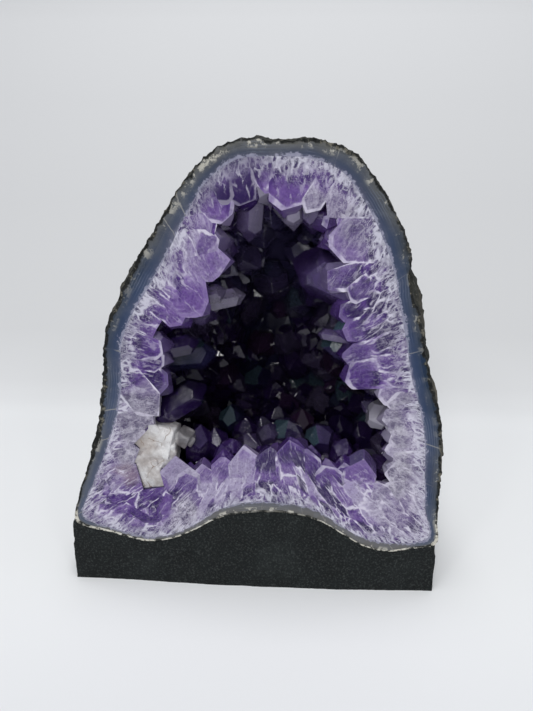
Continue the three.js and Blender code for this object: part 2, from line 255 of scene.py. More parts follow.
def without_crumbs(piece, sliver=5e-4):
    """Takes out what Booleans leave in one solid: pockets closed off inside it, and slivers."""
    bm = bmesh.new()
    bm.from_mesh(piece.data)
    shells, seen = [], set()
    for face in bm.faces:
        waiting, shell = [face], []
        while waiting:
            here = waiting.pop()
            if here not in seen:
                seen.add(here)
                shell.append(here)
                waiting.extend(other for edge in here.edges for other in edge.link_faces)
        shells.append(shell)
    pockets = sorted(shells, key=len)[:-1]
    bmesh.ops.delete(bm, geom=[face for shell in pockets for face in shell], context="FACES")
    bmesh.ops.dissolve_degenerate(bm, dist=sliver, edges=bm.edges)
    bmesh.ops.triangulate(bm, faces=bm.faces)
    bmesh.ops.dissolve_degenerate(bm, dist=sliver, edges=bm.edges)
    bm.to_mesh(piece.data)
    bm.free()


def put_in_place(piece, material):
    """From the stone's millimetres to the frame's metres, flat shaded, with its finish."""
    piece.data.transform(STONE_PLACE)
    piece.data.shade_flat()
    piece.data.materials.clear()
    piece.data.materials.append(material)


def ruggedness(p):
    """How far the broken surface stands out from the smooth vault in broad swells."""
    swell = math.sin(p.x / 13 + p.z / 17 + 0.6) + math.sin(p.y / 15 - p.z / 11 + 2.1)
    knob = math.sin(p.x / 6.1 - p.y / 7.3 + 1.2) * math.sin(p.z / 6.7 + p.x / 9.1)
    return 2.8 + swell + 1.2 * knob


def smooth_step(low, high, value):
    share = min(max((value - low) / (high - low), 0), 1)
    return share * share * (3 - 2 * share)


# Places where the edge is chipped away a little further: x, z, radius, depth.
DENTS = [
    (71, 160, 8, 2.6), (14, 214, 11, 0.9), (-60, 148, 6, 0.8), (78, 142, 7, 0.8), (36, 213, 8, 0.6),
    (75, 152, 8, 2),
]


def rough_stone(columns, rows, shrink=0.0):
    """The whole stone with its broken outside."""
    bm = vault(edge_radius, STONE_DEPTH, columns, rows, rings=(0, 0.5, 1))
    for vert in bm.verts:
        p = vert.co.copy()
        edge_there = edge_radius(math.atan2(p.z - HEART_Z, p.x - HEART_X))
        if p.y < 1e-4 and (p - heart_at(0)).length < 0.9 * edge_there:
            continue
        away = (p - heart_at(p.y * 0.4)).normalized()
        if p.y < 1e-4:
            away.y = 0
        near_top = smooth_step(188, 206, p.z)
        swells = ruggedness(p) * min(1, p.y / 18) * smooth_step(28, 62, p.z) * (1 - 0.9 * near_top)
        pits = noise.voronoi(p * 0.16)[0][0]
        chips = noise.fractal(p * 0.30, 1.0, 2.1, 4) * 0.7 + (pits - 0.6) * 1.3 + 0.1
        chips += 0.7 * noise.noise(p * 0.7)
        for x, z, radius, deep in DENTS:
            inside = 1 - smooth_step(0.3 * radius, radius, math.hypot(p.x - x, p.z - z))
            swells -= deep * inside * (1 - smooth_step(10, 40, p.y))
        held = 0.3 + 0.7 * smooth_step(36, 60, p.z)
        vert.co = p + away * (swells + chips * held - shrink)
    bmesh.ops.recalc_face_normals(bm, faces=bm.faces)
    return bm


band_thickness = round_heart([(x, z, band) for x, z, husk, band in EDGE])

# How the sawn rim looks round the stone: x, z, grey rather than blue, light rather than dark, and
# how wide the dark rock is there.
RIM_LOOK = [
    (-86, 42, 0.25, 0.5, 1.6), (-78, 66, 0.3, 0.6, 1.5), (-75, 80, 0.2, 0.45, 3.4),
    (-70, 98, 0.05, 0.35, 2), (-64, 133, 0, 0, 1.4), (-54, 155, 0.1, 0.2, 1.8),
    (-38, 180, 0.6, 0.25, 1.2), (-28, 195, 0.6, 0.3, 1), (-12, 210, 0.85, 0.3, 0.8),
    (13, 214, 0.85, 0.5, 0.9), (28, 213, 0.6, 0.1, 1.4), (49, 200, 0.5, 0.3, 1),
    (63, 180, 0.15, 0.12, 0.9), (72, 150, 0.3, 0.15, 1.3), (77, 128, 0.1, 0, 1.2),
    (83, 105, 0.05, 0.05, 1.2), (88, 85, 0.05, 0.2, 1.6), (89, 53, 0.1, 0, 1.4),
    (88, 30, 0.3, 0.5, 1), (40, 34, 1, 0.45, 0.9), (-30, 30, 1, 0.45, 0.9),
    (-60, 25, 0.8, 0.6, 0.9),
]
rim_looks = [round_heart([(x, z, row[k]) for x, z, *row in RIM_LOOK]) for k in range(3)]


def add_rim_layers(bm, radius):
    """How far a place is inside the stone's edge, also as a share of husk and band together,
    and how the rim looks there."""
    inward = bm.loops.layers.float_vector.new("inward")
    look = bm.loops.layers.float_vector.new("look")
    seat = bm.loops.layers.float_vector["seat"]
    for vert in bm.verts:
        angle = math.atan2(vert.co.z - HEART_Z, vert.co.x - HEART_X)
        rim = husk_thickness(angle) + band_thickness(angle)
        for loop in vert.link_loops:
            depth_in = loop[seat].z + edge_radius(angle) - radius(angle)
            loop[inward] = (depth_in, depth_in / rim, rim)
            loop[look] = [part(angle) for part in rim_looks]


husk_body = rough_stone(columns=560, rows=120)
add_rim_layers(husk_body, edge_radius)
husk = object_of("basalt_husk_rough", husk_body)
joined_or_cut(husk, "DIFFERENCE", [cutter(inside_husk, HUSK_INSIDE)])


def reckoned(operation, swapped=False):
    """What a sign such as + or * does with a value and what stands on its other side."""
    def outcome(value, other=0.0):
        return math_of(operation, *((other, value) if swapped else (value, other)))

    return outcome


class Value:
    """What a node gives out, to reckon with as with a number."""

    def __init__(self, socket):
        self.socket = socket

    __add__, __radd__ = reckoned("ADD"), reckoned("ADD", swapped=True)
    __sub__, __rsub__ = reckoned("SUBTRACT"), reckoned("SUBTRACT", swapped=True)
    __mul__, __rmul__ = reckoned("MULTIPLY"), reckoned("MULTIPLY", swapped=True)
    __truediv__, __abs__ = reckoned("DIVIDE"), reckoned("ABSOLUTE")


def feed(node, sockets):
    """Links sockets of a node to values, and sets those that are given a plain number."""
    for key, value in sockets.items():
        if isinstance(value, Value):
            node.id_data.links.new(value.socket, node.inputs[key])
        else:
            node.inputs[key].default_value = value


def add_node(tree, kind, sockets=None, **settings):
    made = tree.nodes.new(kind)
    for key, value in settings.items():
        setattr(made, key, value)
    feed(made, sockets or {})
    return made


def worked_out(kind, output, sockets, **settings):
    """What a new node makes of the values that are fed to it."""
    tree = next(value.socket.id_data for value in sockets.values() if isinstance(value, Value))
    return Value(add_node(tree, kind, sockets, **settings).outputs[output])


def new_finish(name):
    """A material, its tree, its shader and the place on the piece."""
    material = bpy.data.materials.new(name)
    material.use_nodes = True
    tree = material.node_tree
    place = Value(add_node(tree, "ShaderNodeTexCoord").outputs["Object"])
    return material, tree, tree.nodes["Principled BSDF"], place


def attribute_of(tree, name):
    return Value(add_node(tree, "ShaderNodeAttribute", attribute_name=name).outputs["Vector"])


def noise_of(place, scale, detail=4.0, roughness=0.6):
    sockets = {"Vector": place, "Scale": scale, "Detail": detail, "Roughness": roughness}
    return worked_out("ShaderNodeTexNoise", "Fac", sockets)


def cells_of(place, scale, feature="F1", output="Distance"):
    sockets = {"Vector": place, "Scale": scale}
    return worked_out("ShaderNodeTexVoronoi", output, sockets, feature=feature)


def ramp_of(value, stops):
    """A colour for each value, from rows of place and colour."""
    colour = worked_out("ShaderNodeValToRGB", "Color", {"Fac": value})
    band = colour.socket.node.color_ramp
    for place, shade in stops[2:]:
        band.elements.new(place)
    for element, (place, shade) in zip(band.elements, sorted(stops)):
        element.position = place
        element.color = (*shade, 1)
    return colour


def curve_of(value, low, high, start=0.0, end=1.0):
    """A value that goes from start to end while the given one goes from low to high."""
    sockets = {"Value": value, "From Min": low, "From Max": high, "To Min": start, "To Max": end}
    return worked_out("ShaderNodeMapRange", "Result", sockets, interpolation_type="SMOOTHSTEP")


def math_of(operation, first, second=0.0):
    return worked_out("ShaderNodeMath", "Value", {0: first, 1: second}, operation=operation)


def larger(first, second):
    return math_of("MAXIMUM", first, second)


def clamped(value):
    """The value that was just worked out, kept between 0 and 1."""
    value.socket.node.use_clamp = True
    return value


def mix_of(share, first, second):
    """The first colour where the share is 0, the second where it is 1."""
    first, second = (part if isinstance(part, Value) else (*part, 1) for part in (first, second))
    sockets = {"Factor": share, 6: first, 7: second}
    return worked_out("ShaderNodeMix", 2, sockets, data_type="RGBA")


def bump_of(height, strength, distance):
    sockets = {"Height": height, "Strength": strength, "Distance": distance}
    return worked_out("ShaderNodeBump", "Normal", sockets)


def split_of(vector):
    """The three parts of a vector."""
    parts = add_node(vector.socket.id_data, "ShaderNodeSeparateXYZ", {"Vector": vector}).outputs
    return SimpleNamespace(x=Value(parts["X"]), y=Value(parts["Y"]), z=Value(parts["Z"]))


FACE_Y = foot_low.y  # metres, in the frame


def on_face(place):
    """1 on the sawn face, 0 behind it."""
    return curve_of(split_of(place).y, FACE_Y + 0.4 * MM, FACE_Y + 0.8 * MM, 1, 0)


def centred(value, size):
    """A noise value about zero."""
    return (value - 0.5) * size


def rim_colour(tree, place):
    """The sawn rim: a dark ragged crust of rock, then chalcedony in layers of grey and blue."""
    inward = split_of(attribute_of(tree, "inward"))
    look = split_of(attribute_of(tree, "look"))
    where = split_of(place)
    wander = centred(noise_of(place, 60), 1.0)
    share = inward.y + wander * 0.55
    grey = clamped(look.x + centred(noise_of(place, 42, 3), 1.4))
    light = clamped(look.y + centred(noise_of(place, 75, 3), 0.9))
    dark_blue = ramp_of(share, [
        (0.0, (0.02, 0.025, 0.033)), (0.25, (0.016, 0.031, 0.06)), (0.62, (0.012, 0.032, 0.09)),
        (0.88, (0.03, 0.05, 0.115)), (1.0, (0.085, 0.095, 0.17)),
    ])
    light_slate = ramp_of(share, [
        (0.0, (0.07, 0.074, 0.086)), (0.3, (0.12, 0.135, 0.175)), (0.65, (0.085, 0.108, 0.172)),
        (0.88, (0.115, 0.13, 0.19)), (1.0, (0.17, 0.175, 0.25)),
    ])
    greyish = ramp_of(share, [
        (0.0, (0.06, 0.06, 0.05)), (0.2, (0.14, 0.138, 0.125)), (0.45, (0.085, 0.088, 0.096)),
        (0.7, (0.03, 0.04, 0.075)), (0.88, (0.04, 0.044, 0.09)), (1.0, (0.08, 0.08, 0.14)),
    ])
    smoky = ramp_of(share, [
        (0.0, (0.085, 0.083, 0.077)), (0.5, (0.125, 0.122, 0.123)), (1.0, (0.108, 0.105, 0.118)),
    ])
    wax = mix_of(light, dark_blue, light_slate)
    shaded = mix_of(light * 0.5, greyish, (0.15, 0.15, 0.15))
    wax = mix_of(grey, wax, shaded)
    under = curve_of(where.z, 0.04, 0.058, 1, 0) * (
        curve_of(where.x, -0.082, -0.07) * curve_of(where.x, 0.074, 0.086, 1, 0)
    )
    wax = mix_of(under, wax, smoky)

    # Faint layers, cloudy spots, pale flecks near the rock and a few cracks filled with quartz.
    layers = math_of("SINE", (inward.x + wander * 3.0) * 5.2)
    layers = curve_of(layers, 0.1, 1, 0, 0.22) * curve_of(noise_of(place, 34, 3), 0.45, 0.6)
    wax = mix_of(layers, wax, (0.24, 0.28, 0.36))
    cloudy = curve_of(noise_of(place, 240, 4, 0.7), 0.48, 0.7, 0, 0.3)
    wax = mix_of(cloudy * (0.15 + (grey + light)), wax, (0.14, 0.15, 0.17))
    flecks = curve_of(noise_of(place, 170, 5, 0.7), 0.54, 0.6)
    near_rock = curve_of(share, 0.04, 0.16) * curve_of(share, 0.3, 0.6, 1, 0)
    flecks = flecks * (near_rock * clamped(grey + 0.12))
    wax = mix_of(flecks, wax, (0.52, 0.5, 0.44))
    seat = split_of(attribute_of(tree, "seat"))
    sockets = {"X": seat.x + wander * 5.0, "Y": seat.y}
    across = worked_out("ShaderNodeCombineXYZ", "Vector", sockets)
    cracks = cells_of(across, 0.03, feature="DISTANCE_TO_EDGE")
    faint = curve_of(noise_of(place, 75, 2), 0.44, 0.62, 0, 0.6)
    cracks = curve_of(cracks, 0.002, 0.009, 1, 0) * faint
    wax = mix_of(cracks, wax, (0.34, 0.33, 0.31))

    # The rock itself is only a ragged line.
    ragged = inward.x + centred(noise_of(place, 230, 4, 0.7), 4.5)
    rock_line = curve_of(ragged - look.z, -0.4, 0.4, 1, 0)
    crumbs = ramp_of(noise_of(place, 300, 4, 0.7), [
        (0.4, (0.006, 0.007, 0.007)), (0.56, (0.022, 0.023, 0.022)), (0.66, (0.16, 0.15, 0.12)),
    ])
    return mix_of(rock_line, wax, crumbs)


basalt, tree, shader, place = new_finish("basalt")
patches = noise_of(place, 38, 5, 0.62)
specks = noise_of(place, 420, 3, 0.7)
rock = ramp_of(patches, [
    (0.3, (0.012, 0.013, 0.011)), (0.47, (0.03, 0.031, 0.026)), (0.58, (0.066, 0.06, 0.047)),
    (0.72, (0.15, 0.135, 0.105)),
])
rock = mix_of(curve_of(specks, 0.62, 0.74), rock, (0.26, 0.24, 0.2))
# Painted shade: the pits in the rock are painted near black towards their middles.
pits = cells_of(place, 210)
rock = mix_of(curve_of(pits, 0.05, 0.32, 0.75, 0), rock, (0.008, 0.008, 0.007))
low = curve_of(split_of(place).z, 0.036, 0.046, 1, 0)
ragged = curve_of(noise_of(place, 260, 3, 0.7), 0.42, 0.56)
pale_line = mix_of(noise_of(place, 500, 2), (0.5, 0.46, 0.36), (0.78, 0.77, 0.72))
bottom_rock = mix_of(ragged, (0.03, 0.032, 0.03), pale_line)
rock = mix_of(on_face(place), rock, mix_of(low, rim_colour(tree, place), bottom_rock))
grain = noise_of(place, 160, 6, 0.7) + pits * 0.8
feed(shader, {
    "Base Color": rock, "Roughness": 0.88, "Specular IOR Level": 0.25,
    "Normal": bump_of(grain, 0.9, 1.2 * MM),
})
without_crumbs(husk)
put_in_place(husk, basalt)
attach(husk, "root")
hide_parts("basalt_husk")

# Chalcedony band. The first layer that silica laid down inside the rock, blue-grey and waxy.
# It grew as one lining of the whole hollow, and shows as a band where it is sawn and polished.
BACK_BAND = 7
BAND_INSIDE = HUSK_INSIDE - BACK_BAND


def inside_band(angle):
    return inside_husk(angle) - band_thickness(angle)


lining_body = vault(
    inside_husk, HUSK_INSIDE, columns=260, rows=14,
    rings=(0, 0.6, 0.8, 0.86, 0.9, 0.93, 0.96, 0.98, 1),
)
add_rim_layers(lining_body, inside_husk)
lining = object_of("chalcedony_lining", lining_body)
joined_or_cut(lining, "DIFFERENCE", [cutter(inside_band, BAND_INSIDE)])

chalcedony, tree, shader, place = new_finish("chalcedony")
wax = rim_colour(tree, place)

# Threads of white quartz reach into its inner edge.
inward = split_of(attribute_of(tree, "inward"))
left_over = inward.z - inward.x
ragged = centred(noise_of(place, 420, 4, 0.7), 7)
threads = left_over + ragged + centred(noise_of(place, 80, 3), 5)
threads = curve_of(threads, 0.2, 1.1, 0.8, 0)
wax = mix_of(threads, wax, mix_of(noise_of(place, 400, 3), (0.16, 0.155, 0.26), (0.46, 0.46, 0.56)))
feed(shader, {
    "Base Color": wax, "Roughness": 0.3, "IOR": 1.54, "Specular IOR Level": 0.3,
    "Coat Weight": 0.08, "Coat Roughness": 0.1,
    "Normal": bump_of(noise_of(place, 420), 0.1, 0.5 * MM),
})
without_crumbs(lining)
put_in_place(lining, chalcedony)
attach(lining, "root")
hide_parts("chalcedony_band")

# Amethyst crust. Quartz that grew inward from the chalcedony, milky and fibrous at its roots
# and violet towards the tips of its six-sided points. All of it is one solid, sawn in front.
HOLLOW_DEPTH = 86
QUARTZ_IOR = 1.544
ROOT_SHARE = 0.46
TIP_LINE = [
    (-31, 71), (-45, 88), (-37, 108), (-33, 128), (-20, 144), (-10, 160), (-7, 180), (10, 187),
    (29, 186), (31, 168), (36, 146), (39, 126), (49, 112), (60, 100), (62, 74), (50, 72), (30, 77),
    (10, 79), (-12, 75),
]
tip_radius = radius_of(TIP_LINE)


def root_radius(angle):
    return tip_radius(angle) + (inside_band(angle) - tip_radius(angle)) * ROOT_SHARE


# The points that the saw cut lengthwise: the tip's x and z, the width across flats, how far
# the tip is behind the sawn face, where it points, in degrees from +X towards +Z, how far it
# leans into the hollow, its length, its tone from dark to pale and how milky it is.
RIM_POINTS = [
    (-36.6, 41, 13, 2, -36, 4, 17, 0.5, 0), (-53, 52.4, 13, 1, 4, 0, 23, 0.05, 0),
    (-44.7, 35.5, 13, 1, -38, 3, 22, 0.25, 0), (-34.7, 71.6, 20, 0, 91, 2, 24, 0.92, 0.4),
    (-48.7, 88.3, 14, 1, 5, 5, 18, 0.8, 0.8), (-42.6, 92.6, 15, 1, -54, 5, 27, 0.8, 0.8),
    (-37.3, 103.7, 16, 6, -42, 12, 22, 0.25, 0.1), (-35.9, 117.9, 12, 5, -16, 12, 20, 0.35, 0.2),
    (-35.3, 126, 13, 7, -4, 16, 21, 0.45, 0.1), (-27.2, 135.2, 13, 6, -47, 8, 18, 0.5, 0),
    (-17.9, 143.2, 19, 3, -40, 8, 21, 0.6, 0), (-7.7, 165, 17, 3, -2, 7, 24, 0.65, 0.1),
    (-7.5, 173.5, 14, 8, 2, 12, 20, 0.45, 0.25), (-13.7, 182.1, 11, 3, 16, 6, 18, 0.6, 0.3),
    (-8.2, 187.4, 9, 4, -75, 9, 14, 0.05, 0), (-0.2, 185.8, 12, 5, -76, 12, 14, 0.1, 0),
    (7, 188.1, 11, 7, -87, 12, 17, 0.85, 0.6), (16.3, 184, 18, 5, -92, 7, 20, 0.7, 0),
    (23.4, 186.3, 8, 1, -125, 6, 16, 0.95, 0.9), (28, 189.9, 11, 3, -105, 8, 15, 0.45, 0.3),
    (33.2, 183.7, 12, 2, -124, 8, 17, 0.85, 0.8), (30.3, 175.1, 19, 5, 180, 8, 27, 0.7, 0.15),
    (19.8, 163.5, 20, 15, 158, 8, 24, 0.25, 0.1), (28.2, 157.3, 13, 6, -171, 8, 27, 0.35, 0.2),
    (40.1, 149.8, 10, 4, -150, 10, 18, 0.75, 0.2), (35.8, 142.7, 12, 6, -165, 12, 18, 0.4, 0),
    (38.1, 134.4, 13, 6, -168, 12, 20, 0.45, 0), (39.3, 124.4, 13, 5, -179, 10, 19, 0.28, 0),
    (40.7, 114.2, 14, 4, -173, 10, 21, 0.36, 0), (50.4, 113.9, 10, 3, -168, 8, 18, 0.6, 0.2),
    (59, 92.5, 12, 3, 196, 5, 16, 0.75, 0.6), (61.8, 91.5, 15, 2, 178, 5, 17, 0.85, 0.8),
    (61.4, 84.6, 12, 4, 184, 6, 17, 0.7, 0.5), (63.4, 74, 11, 5, 176, 8, 17, 0.75, 0.5),
    (62.5, 78.4, 14, 2, -172, 7, 15, 0.5, 0.3), (62.9, 69, 13, 2, 172, 6, 15, 0.8, 0.6),
    (63.4, 60.5, 12, 2, 150, 3, 14, 0.75, 0.5), (53.6, 75.6, 16, 5, 79, 6, 18, 0.5, 0.1),
    (44.2, 73, 12, 4, 96, 8, 16, 0.3, 0), (35.7, 71, 13, 3, 100, 7, 16, 0.45, 0),
    (25.6, 77.5, 13, 1, 98, 3, 18, 0.4, 0), (18.5, 83.1, 13, 1, 92, 2, 18, 0.3, 0),
    (9.6, 77.9, 13, 1, 84, 2, 18, 0.15, 0), (-3.6, 78.2, 16, 1, 96, 4, 23, 0.8, 0.1),
    (-12.9, 74, 13, 3, 93, 7, 19, 0.35, 0), (-22.6, 69.4, 13, 3, 93, 6, 18, 0.4, 0.1),
    (-47, 79, 15, 4, 0, 4, 18, 0.7, 0.5), (-46, 68, 15, 4, 30, 4, 20, 0.6, 0.4),
    (-50, 84.5, 12, 1, -6, 2, 20, 0.75, 0.7), (-52.5, 71, 12, 1, 8, 1, 18, 0.65, 0.5),
    (-41, 64, 14, 5, 55, 6, 20, 0.45, 0.1), (-29.5, 66, 12, 5, 80, 12, 18, 0.3, 0),
    (60.9, 101.9, 13, 2, 175, 5, 18, 0.8, 0.7), (62.5, 67.8, 13, 2, 165, 7, 16, 0.75, 0.7),
    (-44.9, 89, 11, 1, -35, 3, 16, 0.75, 0.7), (58.9, 61.3, 9, 1, 120, 1, 12, 0.6, 0.3),
    (-7.6, 180.6, 13, 3, -55, 6, 18, 0.65, 0.35), (56.5, 107, 12, 2, 178, 5, 18, 0.65, 0.5),
]
ROOT = 7  # how far a point reaches back into the crust
PYRAMID = 1.15  # height of a point's pyramid over the distance from its axis to a flat
FACE_STEP = 0.08  # the crust between sawn crystals lies this far behind their sections


def chance(row, place, use):
    """The same number between 0 and 1 for the same row, place and use."""
    wave = math.sin(row * 127.1 + place * 311.7 + use * 74.7) * 43758.5453
    return wave - math.floor(wave)


def between(low, high, share):
    return low + (high - low) * share


def sliced(bm, place, square_to, **side):
    """Cuts a body with a plane, clears that side of it and closes the cut."""
    everything = bm.verts[:] + bm.edges[:] + bm.faces[:]
    cut = bmesh.ops.bisect_plane(
        bm, geom=everything, dist=1e-5, plane_co=place, plane_no=square_to, **side,
    )
    ring = [e for e in cut["geom_cut"] if isinstance(e, bmesh.types.BMEdge)]
    if len(ring) > 2:
        bmesh.ops.contextual_create(bm, geom=ring)


crystals = []


def grow_crystal(
    foot, axis, width, reach, root, seed, cap, bevel=0.0, tone=None, milk=0.0, hue=None,
):
    """A six-sided point: a prism, cut by the six faces of its pyramid, then by the saw at the
    depth given as cap. Its corners keep their place in the crystal, its size and its tint."""
    flat = width / 2
    bm = bmesh.new()
    bmesh.ops.create_cone(
        bm, cap_ends=True, segments=6, radius1=flat / math.cos(math.pi / 6),
        radius2=flat / math.cos(math.pi / 6), depth=reach + root + 2 * flat,
    )
    bmesh.ops.translate(bm, verts=bm.verts, vec=(0, 0, (reach - root) / 2 + flat))
    bmesh.ops.rotate(bm, verts=bm.verts, matrix=Matrix.Rotation(math.pi / 6, 3, "Z"))
    for side in range(6):
        around = side * math.pi / 3
        outset = flat * between(0, 0.3, chance(*seed, 11 + side)) + (0.16 * flat if side % 2 else 0)
        slope = (PYRAMID * math.cos(around), PYRAMID * math.sin(around), 1)
        sliced(bm, (0, 0, reach + outset), slope, clear_outer=True)
    if bevel:
        bmesh.ops.bevel(
            bm, geom=[e for e in bm.edges if min(v.co.z for v in e.verts) > -root + 0.1],
            offset=bevel, offset_type="OFFSET", affect="EDGES", segments=1, profile=0.5,
            material=-1, clamp_overlap=True,
        )
    inner = bm.verts.layers.float_vector.new("inner")
    for vert in bm.verts:
        vert[inner] = vert.co
    twist = Matrix.Rotation(chance(*seed, 4) * math.pi, 3, "Z").to_quaternion()
    turn = axis.normalized().to_track_quat("Z", "Y") @ twist
    bm.transform(Matrix.Translation(foot) @ turn.to_matrix().to_4x4())
    sliced(bm, (0, cap, 0), (0, 1, 0), clear_inner=True)
    bmesh.ops.triangulate(bm, faces=bm.faces)
    bmesh.ops.recalc_face_normals(bm, faces=bm.faces)
    if bm.calc_volume(signed=True) < 0:
        bmesh.ops.reverse_faces(bm, faces=bm.faces)
    whole = bm.faces and all(len(e.link_faces) == 2 for e in bm.edges)
    if not whole:
        bm.free()
        return
    local, habit, tint, seat = (
        bm.loops.layers.float_vector.new(name) for name in ("local", "habit", "tint", "seat")
    )
    if tone is None:
        tone = chance(*seed, 20)
    for vert in bm.verts:
        angle = math.atan2(vert.co.z - HEART_Z, vert.co.x - HEART_X)
        inset = inside_band(angle) - math.hypot(vert.co.z - HEART_Z, vert.co.x - HEART_X)
        for loop in vert.link_loops:
            loop[local] = vert[inner]
            loop[habit] = (flat, reach, root)
            loop[tint] = (tone, milk, chance(*seed, 21) if hue is None else hue)
            loop[seat] = seat_at(angle, inset)
    bm.verts.layers.float_vector.remove(inner)
    crystals.append(object_of("crystal", bm))


def way_of(degrees, lean):
    """The way a crystal points, in degrees from +X towards +Z, and leaning back by the others."""
    way, lean = math.radians(degrees), math.radians(lean)
    return Vector((math.cos(way) * math.cos(lean), math.sin(lean), math.sin(way) * math.cos(lean)))


for i, (x, z, width, behind, degrees, lean, length, tone, milk) in enumerate(RIM_POINTS):
    axis = way_of(degrees, lean)
    grow_crystal(
        Vector((x, behind, z)) - axis * length, axis, width, length, ROOT, (0, i),
        cap=0.012 * chance(0, i, 8), bevel=between(0.12, 0.5, chance(0, i, 9)), tone=tone,
        milk=milk,
    )

# Points that stand and hang in the hollow just behind the sawn ones: the tip's x, z and depth,
# the width, where it points, how far it leans back, its length, tone, milkiness and, where
# it stands out, its hue.
MIDDLE_HUE = 0.5
STANDING_POINTS = [
    (-26.9, 80.4, 16, 13, 84, -14, 20, 0.2, 0), (-19.5, 77, 20, 11, 98, -10, 18, 0.1, 0),
    (-9.8, 75.9, 11, 10, 80, -20, 16, 0.35, 0), (-15.5, 74.5, 8, 9, 104, -12, 14, 0.25, 0),
    (-4.4, 80.2, 27, 12, 86, -22, 18, 0.15, 0, 0.3), (3, 79.5, 31, 13, 100, -16, 20, 0.05, 0),
    (7.1, 80.6, 20, 11, 92, -24, 18, 0.3, 0.2), (17.6, 81.4, 22, 14, 82, -30, 18, 0.45, 0.1, 0.02),
    (22.3, 77.4, 11, 9, 96, -16, 15, 0.4, 0.1), (29.2, 75.6, 8, 10, 84, -10, 14, 0.3, 0),
    (31.5, 80.6, 19, 13, 102, -26, 18, 0.45, 0, 0.03), (38.7, 75.6, 22, 11, 90, -30, 16, 0.2, 0),
    (45.6, 75.8, 14, 10, 78, -12, 15, 0.25, 0), (24, 82.5, 33, 13, 88, -18, 20, 0.1, 0, 0.95),
    (11, 82, 38, 12, 84, -14, 20, 0.05, 0), (43.7, 80, 33, 13, 98, -20, 20, 0.1, 0),
    (53.5, 78.4, 30, 12, 106, -12, 18, 0.15, 0), (-13, 82, 36, 13, 92, -18, 20, 0.05, 0, 0.04),
    (-0.8, 172.8, 13, 11, -95, 8, 18, 0.55, 0.3), (18.8, 178.2, 9, 9, -85, 6, 16, 0.9, 0.5),
    (26.5, 176.7, 11, 12, -97, 8, 16, 0.4, 0.15), (-5.6, 167.6, 12, 9, -20, 8, 18, 0.45, 0.2),
    (-11.2, 150.7, 11, 8, 15, 10, 16, 0.8, 0.4), (-23.9, 101.2, 18, 13, 30, 12, 20, -0.1, 0),
    (30.3, 132.3, 8, 5, 172, 6, 14, 0.5, 0.25),
    (32.6, 123.5, 16, 12, 188, 10, 20, 0.35, 0.15, 0.03), (52.4, 96.3, 14, 7, 150, 4, 16, 0.5, 0.3),
    (-16.2, 137.4, 12, 10, -25, 12, 18, 0.35, 0.2, 0.3), (-25.1, 125.4, 13, 9, 10, 12, 18, 0.08, 0),
    (54.7, 92.7, 3, 12, 172, -50, 17, 0.85, 1), (-18.4, 116.7, 24, 13, 4, 6, 20, 0.25, 0, 0.03),
    (-3, 148, 14, 8, 12, 6, 16, 0.9, 0.6),
]
for i, (x, z, behind, width, degrees, lean, length, tone, milk, *hue) in enumerate(
    STANDING_POINTS,
):
    axis = way_of(degrees, lean)
    grow_crystal(
        Vector((x, behind, z)) - axis * length, axis, width, length, ROOT, (30, i),
        cap=0.02, bevel=0.15, tone=tone, milk=milk, hue=hue[0] if hue else MIDDLE_HUE,
    )


def inward_at(angle, turn):
    """The way into the hollow, square to the vault that the points are rooted in."""
    def at(a, t):
        return vault_point(root_radius, HOLLOW_DEPTH, a, t)

    step = 0.05
    across = at(angle + step, turn) - at(angle - step, turn)
    along = at(angle, min(turn + step, math.pi / 2)) - at(angle, max(turn - step, 0))
    return across.cross(along).normalized()


def girth_at(turn):
    ring = [vault_point(root_radius, HOLLOW_DEPTH, k / 48 * math.tau, turn) for k in range(48)]
    return sum((b - a).length for a, b in zip(ring, ring[1:] + ring[:1]))


def row_of_points(row, degrees, spacing, stray_along, stray_up, lean):
    """Where the points of one row round the hollow are rooted and which way they point."""
    turn = math.radians(degrees)
    count = max(3, round(girth_at(turn) / spacing))
    for k in range(count):
        stray = {use: chance(row, k, use) - 0.5 for use in (1, 2, 7, 8, 9)}
        angle = (k + 0.5 * (row % 2) + stray_along * stray[1]) / count * math.tau
        steep = max(turn + stray_up * stray[2], 0.02)
        foot = vault_point(root_radius, HOLLOW_DEPTH, angle, steep)
        aside = Vector((stray[7], stray[8], stray[9])) * lean
        yield k, foot, inward_at(angle, steep) + aside


ROW_ANGLES = (12, 25, 38, 51, 65, 81)
for row, degrees in enumerate(ROW_ANGLES, 1):
    for k, foot, axis in row_of_points(row, degrees, 17, 0.5, 0.09, 0.44):
        width = between(14, 20, chance(row, k, 3))
        reach = between(8, 15, chance(row, k, 10) ** 1.5)
        milk = max(0, chance(row, k, 22) - 0.70) * 1.6
        grow_crystal(foot, axis, width, reach, ROOT, (row, k), cap=0.02, bevel=0.2, milk=milk)

# Smaller points stand between the large ones: how far from the face, in degrees, and how far
# apart.
SMALL_ROWS = [
    (4, 9.5), (9, 9.5), (17, 10), (24, 10.5), (32, 11), (40, 11), (48, 11.5), (57, 12), (66, 12),
    (76, 12),
]
for row, (degrees, spacing) in enumerate(SMALL_ROWS, 11):
    for k, foot, axis in row_of_points(row, degrees, spacing, 0.8, 0.1, 0.9):
        width = between(6, 12, chance(row, k, 3))
        reach = between(5, 11, chance(row, k, 10))
        tone = 0.7 * chance(row, k, 20)
        grow_crystal(foot, axis, width, reach, 4, (row, k), cap=0.03, tone=tone)

crust_body = vault(
    inside_band, BAND_INSIDE, columns=260, rows=10, rings=(0, 0.4, 0.55, 0.7, 0.8, 0.9, 1),
    front=FACE_STEP,
)
for name in ("local", "habit", "tint"):
    crust_body.loops.layers.float_vector.new(name)
crust = object_of("amethyst_points", crust_body)
joined_or_cut(crust, "DIFFERENCE", [cutter(root_radius, HOLLOW_DEPTH, columns=120)])
joined_or_cut(crust, "UNION", crystals)


